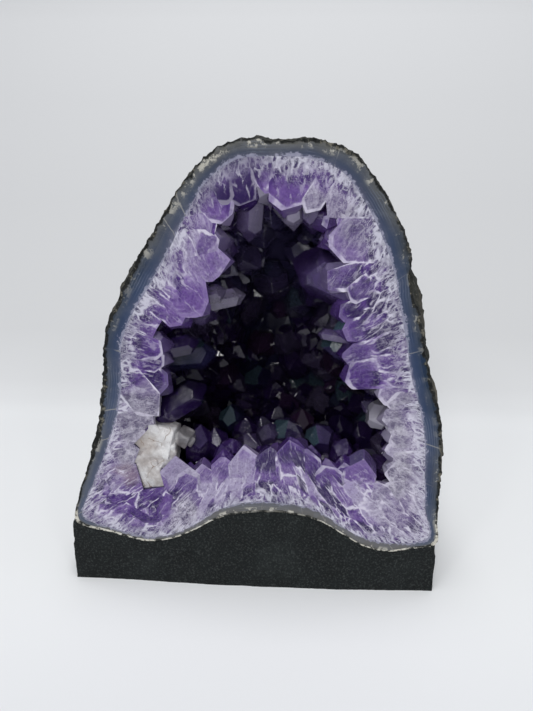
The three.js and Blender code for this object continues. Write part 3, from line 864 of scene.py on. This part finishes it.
def block_of(size):
    """A box about the origin."""
    bm = bmesh.new()
    bmesh.ops.create_cube(bm, size=1)
    bmesh.ops.scale(bm, verts=bm.verts, vec=size)
    return bm


# The calcite at the lower left sits in a nest in this crust: x, z, across, high, its turn.
NEST_PARTS = [
    (-45.6, 78.4, 14, 14, 43), (-41.8, 78.2, 10, 14.5, 14), (-48.8, 61.6, 10.5, 15, -11),
    (-49.8, 70.6, 9.5, 10, 22),
]
nest = []
for x, z, across, high, degrees in NEST_PARTS:
    bm = block_of((across, 10 + 0.1 * len(nest), high))
    bm.transform(Matrix.Translation((x, 3.5, z)) @ Matrix.Rotation(math.radians(degrees), 4, "Y"))
    nest.append(object_of("nest", bm))
joined_or_cut(crust, "DIFFERENCE", nest)
keeper = object_of("keeper", vault(inside_band, BAND_INSIDE, columns=260, rows=10, front=-1))
joined_or_cut(crust, "INTERSECT", [keeper])


def vector_of(operation, first, second):
    output = "Value" if operation in ("DISTANCE", "DOT_PRODUCT") else "Vector"
    return worked_out("ShaderNodeVectorMath", output, {0: first, 1: second}, operation=operation)


def stirred(place, by, scale, reach):
    """A place moved about by noise, so that what is drawn with it wanders."""
    sockets = {"Vector": by, "Scale": scale, "Detail": 2.0}
    waves = worked_out("ShaderNodeTexNoise", "Color", sockets)
    waves = vector_of("SUBTRACT", waves, (0.5, 0.5, 0.5))
    return vector_of("ADD", place, vector_of("MULTIPLY", waves, (reach, reach, reach)))


def lace_of(place, scale, low, high):
    """A net of thin lines."""
    sockets = {
        "Vector": place, "Scale": scale, "Detail": 4, "Roughness": 0.62, "Offset": 1, "Gain": 2,
    }
    net = worked_out("ShaderNodeTexNoise", "Fac", sockets, noise_type="RIDGED_MULTIFRACTAL")
    return curve_of(net, low, high)


def blend_of(share, first, second):
    """One value that goes over into another."""
    return first + (second - first) * share


def with_violet_inside(tree):
    """Clear quartz swallows all but violet light on its way through."""
    sockets = {"Color": (0.6, 0.38, 0.85, 1), "Density": 70.0}
    inside = add_node(tree, "ShaderNodeVolumeAbsorption", sockets)
    tree.links.new(inside.outputs["Volume"], tree.nodes["Material Output"].inputs["Volume"])


cut_quartz, tree, shader, place = new_finish("cut_quartz")
local = split_of(stirred(attribute_of(tree, "local"), place, 170, 1.6))
habit = split_of(attribute_of(tree, "habit"))
tint = split_of(attribute_of(tree, "tint"))
seat = attribute_of(tree, "seat")
flat, reach = habit.x, habit.y
in_crystal = math_of("GREATER_THAN", flat, 0.5)

# How far, in millimetres, a place in a crystal is below its sides and below its pyramid.
sideways = abs(local.x)
slanting = sideways * 0.5 + abs(local.y) * 0.866
off_axis = larger(sideways, slanting)
below_side = flat - off_axis
below_top = 0.66 * (reach - local.z - off_axis * PYRAMID)
below_skin = math_of("MINIMUM", below_side, below_top)

# The sawn quartz between the points is a net of crystals that widen away from the chalcedony.
net_place = vector_of("MULTIPLY", seat, (1.0, 1.0, 0.42))
net_place = stirred(net_place, place, 75, 5.0)
net_place = stirred(net_place, place, 380, 1.3)
inset = split_of(seat).z + centred(noise_of(place, 70, 3), 9)
net_edge, net_tone = None, None
for size, start in ((2.6, None), (5.5, 5), (10.0, 13)):
    edge = cells_of(net_place, 1 / size, feature="DISTANCE_TO_EDGE") * size
    tone = split_of(cells_of(net_place, 1 / size, output="Color")).x
    if net_edge is None:
        net_edge, net_tone = edge, tone
    else:
        wide = curve_of(inset, start - 2, start + 3)
        net_edge, net_tone = blend_of(wide, net_edge, edge), blend_of(wide, net_tone, tone)

# The points' own sections take over from that net towards their tips.
own = in_crystal * curve_of(local.z - reach * 0.25, -2, 4)
skin = blend_of(own, net_edge, below_skin)
tone = blend_of(own, net_tone, tint.x)
milk = tint.y * own

# Places on the face that are more violet or more milky than the rest: x, z, radius, how much
# paler, how much milkier.
FACE_PLACES = [
    (-52, 122, 20, -0.1, -0.2), (-58, 88, 24, 0.05, 0.75), (78, 84, 30, 0.05, 0.6),
    (76, 48, 26, 0.15, 0.7), (50, 184, 18, -0.38, 0.3), (-28, 168, 14, 0.1, 0.2),
    (-70, 62, 12, 0, 0.4), (22, 60, 24, -0.12, 0.1), (54, 128, 18, -0.02, 0.15),
    (12, 200, 22, -0.18, -0.1), (60, 152, 22, -0.44, 0.02), (-17, 60, 24, 0.18, 0.22),
    (-31, 47, 9, 0.3, 0.8), (-34.5, 37, 14, 0.45, 1.1), (-2, 192, 13, -0.25, -0.1),
    (-12, 206, 26, -0.05, -1),
]
for x, z, radius, paler, milkier in FACE_PLACES:
    centre = STONE_PLACE @ Vector((x, 0, z))
    near = vector_of("DISTANCE", stirred(place, place, 45, 0.022), centre)
    near = curve_of(near, 0.45 * radius * MM, 1.05 * radius * MM, 1, 0)
    tone = tone + near * paler
    milk = milk + near * milkier

# Violet is deepest a little below a crystal's skin, in bands that follow it.
tone = 0.47 + (tone - 0.5) * 1.25
calm = 1.0 - own * 0.45
tone = tone + calm * centred(noise_of(place, 130, 5, 0.65), 1.7)
tone = tone + math_of("SINE", skin * 3.6) * 0.05 + curve_of(skin, 0.2, 2.2, 0.08, 0)
violet = ramp_of(tone, [
    (0.0, (0.022, 0.006, 0.085)), (0.18, (0.055, 0.018, 0.165)), (0.38, (0.11, 0.048, 0.26)),
    (0.6, (0.185, 0.1, 0.355)), (0.82, (0.3, 0.215, 0.47)), (1.0, (0.42, 0.35, 0.57)),
])
milk_tone = noise_of(place, 210, 4, 0.65) + centred(net_tone, 0.22)
milky = ramp_of(
    milk_tone,
    [(0.34, (0.11, 0.092, 0.17)), (0.5, (0.26, 0.235, 0.33)), (0.64, (0.54, 0.515, 0.6))],
)
quartz = mix_of(clamped(milk * 0.85), violet, milky)

# Near the chalcedony the clear quartz between the threads looks dark, and so does what lies
# deep in clear pockets elsewhere.
rooted = curve_of(inset, 0, 13, 1, 0)
shadow = rooted * clamped(0.75 - milk)
quartz = mix_of(
    shadow, quartz, mix_of(noise_of(place, 90, 3), (0.055, 0.055, 0.115), (0.095, 0.045, 0.19)),
)

pockets = curve_of(noise_of(stirred(place, place, 60, 0.012), 95, 4, 0.7), 0.55, 0.66, 0, 0.65)
pockets = pockets * clamped(0.9 - milk) * calm
quartz = mix_of(pockets, quartz, (0.042, 0.017, 0.12))
stained = vector_of(
    "DISTANCE", stirred(place, place, 120, 0.012), STONE_PLACE @ Vector((-59.5, 0, 61.5)),
)
stained = curve_of(stained, 4 * MM, 9 * MM, 0.65, 0)
quartz = mix_of(stained, quartz, (0.29, 0.21, 0.25))
slate = curve_of(inset, -1.5, 2.5, 1, 0) * (1.0 - own)
quartz = mix_of(slate * 0.75, quartz, (0.06, 0.07, 0.115))

# White lace: the seams between crystals, and a finer net that is thickest at the chalcedony.
seam = curve_of(skin + centred(noise_of(place, 330, 4, 0.7), 1.4), 0.05, 0.6, 1, 0)
at_tip = own * curve_of(below_top, 0.5, 2.0, 1, 0) * curve_of(tint.z, 0.45, 0.75, 0.9, 0.3)
seam = seam * (1.0 - at_tip) * curve_of(noise_of(place, 120, 3), 0.34, 0.56, 0.25, 0.95)
seam = seam * curve_of(milk, -1, 0, 0.45, 1)
threads = lace_of(stirred(net_place, place, 420, 1.2), 0.4, 1.52, 1.95)
fine_net = lace_of(stirred(place, place, 300, 0.002), 560, 1.55, 2.0)
coarse_net = lace_of(net_place, 0.16, 1.74, 2.05)
often = clamped(rooted * 0.66 + (milk * 0.45 + 0.16))
often = often * curve_of(noise_of(place, 110, 3), 0.36, 0.56, 0.35, 1) * calm
lace = larger(larger(threads, fine_net) * often, coarse_net * 0.55 * calm)
lace = larger(lace, seam)
grains = noise_of(place, 850, 3, 0.7)
quartz = mix_of(curve_of(grains, 0.34, 0.52, 0.45, 0), quartz, (0.065, 0.03, 0.145))
white = mix_of(rooted * 0.7, (0.84, 0.79, 0.93), (0.7, 0.7, 0.8))
quartz = mix_of(lace * 0.94, quartz, white)
height = noise_of(place, 500) + lace * 1.2 + curve_of(skin, 0, 2.2, 0, 3.5)
feed(shader, {
    "Base Color": quartz, "Roughness": 0.35, "IOR": QUARTZ_IOR, "Specular IOR Level": 0.15,
    "Transmission Weight": 0.15, "Normal": bump_of(height, 0.35, 0.6 * MM),
})
with_violet_inside(tree)

# The points themselves are clear and dark, each with a slightly different tint. Those near the sawn
# face and those that stand up at the bottom are painted lighter, as painted light, and milky points
# are paler as well.
amethyst, tree, shader, place = new_finish("amethyst_points")
where = split_of(place)
tint = split_of(attribute_of(tree, "tint"))
tone = tint.x + (noise_of(place, 140, 3) - 0.5)
shade = ramp_of(tone, [
    (0.0, (0.014, 0.006, 0.045)), (0.35, (0.04, 0.016, 0.11)), (0.62, (0.08, 0.04, 0.18)),
    (0.78, (0.085, 0.075, 0.13)), (1.0, (0.2, 0.15, 0.32)),
])
odd = ramp_of(tint.z, [
    (0.0, (0.03, 0.05, 0.11)), (0.07, (0.03, 0.05, 0.11)), (0.1, (0.04, 0.02, 0.09)),
    (0.9, (0.03, 0.02, 0.09)), (0.93, (0.13, 0.06, 0.11)), (1.0, (0.13, 0.06, 0.11)),
])
shade = mix_of(0.4, shade, odd)
# Painted light: within this reach of the sawn face, which is longer at the bottom, a point takes
# the paler colour below. Milky points take it too.
painted_light_reach = curve_of(where.z, 0.08, 0.105, 34 * MM, 13 * MM)
behind_face = (where.y - FACE_Y) / painted_light_reach
painted_light_and_milk = curve_of(behind_face, 0.05, 1.0, 0.8, 0)
painted_light_and_milk = larger(painted_light_and_milk, tint.y * 0.7)
pale = ramp_of(tone, [
    (0.0, (0.03, 0.012, 0.095)), (0.3, (0.085, 0.038, 0.215)), (0.6, (0.165, 0.095, 0.33)),
    (1.0, (0.36, 0.29, 0.5)),
])
pale = mix_of(tint.y * 0.9, pale, (0.62, 0.6, 0.68))
# Painted reflection: on some points, the facet turned left, forward and up is painted teal.
facet = Value(add_node(tree, "ShaderNodeNewGeometry").outputs["True Normal"])
facing = vector_of("DOT_PRODUCT", facet, (-0.45, -0.65, 0.61))
painted_teal_reflection = curve_of(facing, 0.7, 0.78) * curve_of(tint.z, 0.05, 0.08, 0.9, 0)
shade = mix_of(painted_light_and_milk, shade, pale)
veils = curve_of(noise_of(stirred(place, place, 90, 0.01), 190, 5, 0.72), 0.53, 0.68, 0, 0.55)
shade = mix_of(veils * painted_light_and_milk, shade, (0.4, 0.36, 0.5))
shade = mix_of(painted_teal_reflection, shade, (0.09, 0.16, 0.2))
# Painted light: points high in the hollow and set back from the face are painted paler.
further_in = curve_of(where.y, FACE_Y + 12 * MM, FACE_Y + 32 * MM)
high = curve_of(where.z, 0.12, 0.165, 0, 0.75) * further_in
shade = mix_of(high, shade, (0.16, 0.13, 0.35))
# Painted shade: the deeper a point stands in the hollow, the darker it is painted.
deep = curve_of(where.y, FACE_Y + 10 * MM, FACE_Y + 60 * MM, 0, 0.5)
shade = mix_of(deep, shade, (0.008, 0.004, 0.018))
growth = vector_of("MULTIPLY", attribute_of(tree, "local"), (0.1, 0.1, 1.0))
height = noise_of(place, 260, 2, 0.5) + noise_of(growth, 1.1, 3) * 0.8
feed(shader, {
    "Base Color": shade, "IOR": QUARTZ_IOR,
    "Roughness": curve_of(noise_of(place, 70, 2), 0.42, 0.62, 0.04, 0.22),
    "Transmission Weight": curve_of(painted_light_and_milk, 0.2, 0.8, 0.62, 0.42),
    "Normal": bump_of(height, 0.09, 0.6 * MM),
})
with_violet_inside(tree)
without_crumbs(crust)
put_in_place(crust, amethyst)
crust.data.materials.append(cut_quartz)
for face in crust.data.polygons:
    if face.normal.y < -0.9 and face.center.y < FACE_Y + 0.2 * MM:
        face.material_index = 1
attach(crust, "root")
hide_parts("amethyst_crust")

# Calcite cluster. Cream-white blocks that grew on the quartz at the lower left of the hollow.
# They are one solid. The saw cut some of them flush, and the others stand back in the hollow.
# The blocks: x, depth and z, then how far across, deep and high, then how far each is turned
# about X, Y and Z, in degrees.
CALCITE_BLOCKS = [
    (-42.2, 7.4, 77.8, 10.5, 12, 16, -5, 14, -8), (-47.6, 7.6, 80.6, 12.5, 12, 12.5, -7, 45, 9),
    (-51.8, 7.2, 74.2, 11.5, 12, 12, 5, 28, -6), (-46.2, 7, 71, 12.5, 12, 12, -3, 40, 6),
    (-49.6, 7.2, 59.4, 14.5, 12, 19, 4, -12, -6), (-46, 7.6, 62.5, 7.5, 12, 10, -5, 10, 11),
    (-52.6, 7.3, 67, 11.5, 12, 9.5, 4, 20, 7), (-33.4, 10, 77.6, 7.5, 9, 7, 8, 24, -14),
    (-30.8, 11, 76.2, 4.5, 7, 5, -10, 38, 15), (-39.6, 7.5, 72, 7.2, 12, 11, 5, -6, 4),
]
blocks = []
for x, depth, z, across, deep, high, *degrees in CALCITE_BLOCKS:
    bm = block_of((across, deep, high))
    bmesh.ops.bevel(
        bm, geom=bm.edges, offset=1.0, affect="EDGES", segments=2, profile=0.5, material=-1,
    )
    bmesh.ops.triangulate(bm, faces=bm.faces)
    bmesh.ops.subdivide_edges(
        bm, edges=[e for e in bm.edges if e.calc_length() > 2], cuts=9, use_grid_fill=True,
    )
    bmesh.ops.triangulate(bm, faces=bm.faces)
    for vert in bm.verts:
        broken = noise.fractal(vert.co * 0.20 + Vector((x, 0, z)), 1.0, 2.0, 4)
        vert.co += vert.normal * 0.6 * broken
    turns = [Matrix.Rotation(math.radians(d), 4, axis) for d, axis in zip(degrees, "XYZ")]
    bm.transform(Matrix.Translation((x, depth, z)) @ turns[0] @ turns[1] @ turns[2])
    sliced(bm, (0, -0.01 * len(blocks), 0), (0, 1, 0), clear_inner=True)
    blocks.append(object_of("block", bm))
cluster = blocks[0]
joined_or_cut(cluster, "UNION", blocks[1:])
cluster.name = "calcite_blocks"
calcite, tree, shader, place = new_finish("cream_calcite")
where = split_of(place)
cream = ramp_of(noise_of(place, 90, 5, 0.65), [
    (0.36, (0.42, 0.38, 0.365)), (0.47, (0.58, 0.55, 0.545)), (0.58, (0.74, 0.73, 0.735)),
])
soiled = vector_of(
    "DISTANCE", stirred(place, place, 120, 0.01), STONE_PLACE @ Vector((-49.5, 0, 78.5)),
)
soiled = curve_of(soiled, 3 * MM, 8 * MM, 0.8, 0) * noise_of(place, 260, 4, 0.7)
cream = mix_of(soiled, cream, (0.3, 0.23, 0.18))
greyish = curve_of(where.x, -0.0366, -0.0348, 0, 0.8)
cream = mix_of(greyish, cream, (0.095, 0.088, 0.102))
grains = noise_of(place, 900, 3, 0.7)
cream = mix_of(curve_of(grains, 0.55, 0.7, 0, 0.4), cream, (0.33, 0.28, 0.25))
lines = cells_of(stirred(place, place, 180, 0.004), 52, feature="DISTANCE_TO_EDGE")
broken_line = curve_of(noise_of(place, 130, 2), 0.44, 0.56, 0, 0.75)
cracks = curve_of(lines, 0.003, 0.012, 1, 0) * broken_line
cream = mix_of(cracks, cream, (0.2, 0.12, 0.07))
facets = cells_of(stirred(place, place, 200, 0.003), 150)
height = noise_of(place, 260, 5, 0.7) + lines * 1.5 + facets * 1.6
feed(shader, {
    "Base Color": cream, "Roughness": 0.42, "IOR": 1.56, "Normal": bump_of(height, 0.6, 1.4 * MM),
})
put_in_place(cluster, calcite)
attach(cluster, "root")
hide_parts("calcite_cluster")

# Cement foot. Cast round the stone's underside to make it stand, then painted a dark
# grey-green. It is grainy all over and flush with the sawn face in front.
FOOT_DEPTH, FOOT_HALF_WIDTH, FOOT_POWER, FOOT_SIDES = 119, 91.5, 3.4, 60
FOOT_LEFT, FOOT_RIGHT, FOOT_BACK = 33, 27.5, 43
FOOT_DRAFT = 1
GRAIN_SIZE = 1.15  # of the net that the grainy surface is made on
GAP = 0.3  # between the stone and the cement
ARCH_SIZE, ARCH_PLACE = (104, 80, 47), (6, 40, 24.5)  # cement under the stone's middle
BACK_SIZE, BACK_PLACE, BACK_END = (56, 42, 11), (0, 88, 40), 115.5  # and behind it

bm = bmesh.new()
bmesh.ops.create_circle(bm, cap_ends=True, segments=2 * FOOT_SIDES, radius=1)
for vert in bm.verts:
    side, back = (math.copysign(abs(part) ** (2 / FOOT_POWER), part) for part in vert.co.xy)
    vert.co.x, vert.co.y = FOOT_HALF_WIDTH * side, FOOT_DEPTH * back
raised = bmesh.ops.extrude_face_region(bm, geom=bm.faces[:])
top = [v for v in raised["geom"] if isinstance(v, bmesh.types.BMVert)]
bmesh.ops.translate(bm, verts=top, vec=(0, 0, FOOT_BACK + SAW_OVERCUT))
lean = 1 - FOOT_DRAFT / FOOT_HALF_WIDTH * (FOOT_BACK + SAW_OVERCUT) / FOOT_LEFT
bmesh.ops.scale(bm, verts=top, vec=(lean, lean, 1))
left_corner = Vector((-FOOT_HALF_WIDTH, 0, FOOT_LEFT))
slant = (Vector((FOOT_HALF_WIDTH, 0, FOOT_RIGHT)) - left_corner).cross(
    Vector((0, FOOT_DEPTH, FOOT_BACK)) - left_corner,
)
sliced(bm, left_corner, slant, clear_outer=True)
sliced(bm, (0, 0, 0), (0, 1, 0), clear_inner=True)
bmesh.ops.recalc_face_normals(bm, faces=bm.faces)
foot = object_of("cement_block", bm)
bm = block_of(ARCH_SIZE)
bmesh.ops.translate(bm, verts=bm.verts, vec=ARCH_PLACE)
joined_or_cut(foot, "UNION", [object_of("arch_fill", bm)])
bm = bmesh.new()
bmesh.ops.create_uvsphere(bm, u_segments=32, v_segments=16, radius=1)
bmesh.ops.scale(bm, verts=bm.verts, vec=BACK_SIZE)
bmesh.ops.translate(bm, verts=bm.verts, vec=BACK_PLACE)
sliced(bm, (0, BACK_END, 0), (0, 1, 0), clear_outer=True)
bmesh.ops.recalc_face_normals(bm, faces=bm.faces)
joined_or_cut(foot, "UNION", [object_of("back_fill", bm)])
stone = object_of("stone", rough_stone(columns=300, rows=90, shrink=GAP))
joined_or_cut(foot, "DIFFERENCE", [stone])
cast = foot.modifiers.new("cast", "REMESH")
cast.mode = "VOXEL"
cast.voxel_size = GRAIN_SIZE
as_modified(foot)
bm = bmesh.new()
bm.from_mesh(foot.data)
normals = [vert.normal.copy() for vert in bm.verts]
for vert, normal in zip(bm.verts, normals):
    grain = noise.fractal(vert.co * 0.5, 1.0, 2.0, 3) * 0.22
    grain += noise.fractal(vert.co * 0.08, 1.0, 2.0, 2) * 0.35
    vert.co += normal * grain
    # The front's lower edge bows forward a little.
    middle = 1 - smooth_step(20, 92, abs(vert.co.x - 12))
    low, in_front = 1 - smooth_step(2, 30, vert.co.z), 1 - smooth_step(0, 25, vert.co.y)
    vert.co.y -= (0.5 + 1.9 * middle) * low * in_front
    vert.co.z = max(vert.co.z, 0) if vert.co.z > 0.5 else 0
bm.to_mesh(foot.data)
bm.free()
cement, tree, shader, place = new_finish("painted_cement")
paint = ramp_of(noise_of(place, 45, 5, 0.6), [
    (0.3, (0.0035, 0.005, 0.0054)), (0.55, (0.0066, 0.0093, 0.0098)),
    (0.75, (0.016, 0.0205, 0.0205)),
])
grit = noise_of(place, 1000, 3, 0.7)
paint = mix_of(curve_of(grit, 0.48, 0.68, 0, 0.6), paint, (0.062, 0.07, 0.068))
height = grit + noise_of(place, 520, 4, 0.7) * 1.2
feed(shader, {
    "Base Color": paint, "Roughness": 0.75, "Specular IOR Level": 0.25,
    "Normal": bump_of(height, 0.8, 1.1 * MM),
})
put_in_place(foot, cement)
foot.data.shade_smooth()
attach(foot, "root")
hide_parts("cement_foot")

# The room. A pale sheet of paper lies under the geode and rises gently behind it: where it
# starts to bend and how tightly, in metres, and how steep it gets.
SHEET_BEND, SHEET_RADIUS, SHEET_SLOPE = 0.12, 0.1, math.radians(30)
bm = bmesh.new()
bmesh.ops.create_grid(bm, x_segments=1, y_segments=300, size=1.5)
for vert in bm.verts:
    run = vert.co.y - SHEET_BEND
    if run > 0:
        turn = min(run / SHEET_RADIUS, SHEET_SLOPE)
        rest = run - SHEET_RADIUS * turn
        vert.co.y = SHEET_BEND + SHEET_RADIUS * math.sin(turn) + rest * math.cos(turn)
        vert.co.z = SHEET_RADIUS * (1 - math.cos(turn)) + rest * math.sin(turn)
paper_sheet = object_of("paper_sheet", bm)
paper_sheet.data.shade_smooth()
paper, tree, shader, place = new_finish("paper")
where = split_of(place)
# Painted light and shade: the paper is painted darker as it rises behind the geode and lighter
# again higher up.
painted_light_on_paper = ramp_of(where.z * 2.2, [
    (0.0, (0.775, 0.785, 0.795)), (0.01, (0.7, 0.708, 0.718)), (0.032, (0.645, 0.651, 0.66)),
    (0.1, (0.6, 0.605, 0.613)), (0.33, (0.61, 0.615, 0.624)), (0.6, (0.66, 0.665, 0.675)),
    (0.92, (0.75, 0.755, 0.765)),
])
# Painted shade: the floor is painted darker towards the camera.
near = curve_of(where.y, -0.22, -0.06, 0.6, 0)
colour = mix_of(near, painted_light_on_paper, (0.6, 0.61, 0.63))
feed(shader, {"Base Color": colour, "Roughness": 0.7, "Specular IOR Level": 0.2})
paper_sheet.data.materials.append(paper)

# The camera stands where the photograph was taken: a phone held close, a little above.
FOCAL_PIXELS, PHOTO_HEIGHT = 600, 711
LOOKS_DOWN, LOOKS_LEFT = 19.5, 3.19  # degrees
camera_data = bpy.data.cameras.new("camera")
camera_data.sensor_width = 36
camera_data.lens = FOCAL_PIXELS / PHOTO_HEIGHT * camera_data.sensor_width
camera = bpy.data.objects.new("camera", camera_data)
camera.location = (STONE_PLACE.translation.x + 0.0215, FACE_Y - 0.2503, 0.2127)
camera.rotation_euler = (math.radians(90 - LOOKS_DOWN), 0, math.radians(LOOKS_LEFT))
scene.collection.objects.link(camera)
scene.camera = camera

world = bpy.data.worlds.new("room")
world.use_nodes = True
world.node_tree.nodes["Background"].inputs["Color"].default_value = (0.80, 0.84, 0.90, 1)
world.node_tree.nodes["Background"].inputs["Strength"].default_value = 0.30
scene.world = world


def soft_light(name, place, target, size, energy):
    """A square lamp at a place, aimed at a target."""
    light_data = bpy.data.lights.new(name, "AREA")
    light_data.energy = energy
    light_data.size = size
    light = bpy.data.objects.new(name, light_data)
    light.location = place
    light.rotation_euler = (Vector(target) - Vector(place)).to_track_quat("-Z", "Y").to_euler()
    scene.collection.objects.link(light)


soft_light("ceiling_lamp", (0.0, -0.25, 2.0), (0, 0.0, 0.05), 1.1, 28.5)
soft_light("front_lamp", (-0.25, -1.3, 0.75), (0, 0, 0.12), 0.22, 4)
soft_light("glint_lamp_left", (-0.55, -0.9, 0.95), (0, 0, 0.12), 0.12, 1.0)
soft_light("glint_lamp_right", (0.50, -0.8, 0.70), (0, 0, 0.12), 0.10, 0.7)
soft_light("glint_lamp_low", (0.10, -0.9, 0.35), (0, 0, 0.12), 0.10, 0.5)
scene.view_settings.view_transform = "Standard"
scene.cycles.max_bounces = 8
scene.cycles.transmission_bounces = 6
scene.cycles.caustics_reflective = False
scene.cycles.caustics_refractive = False
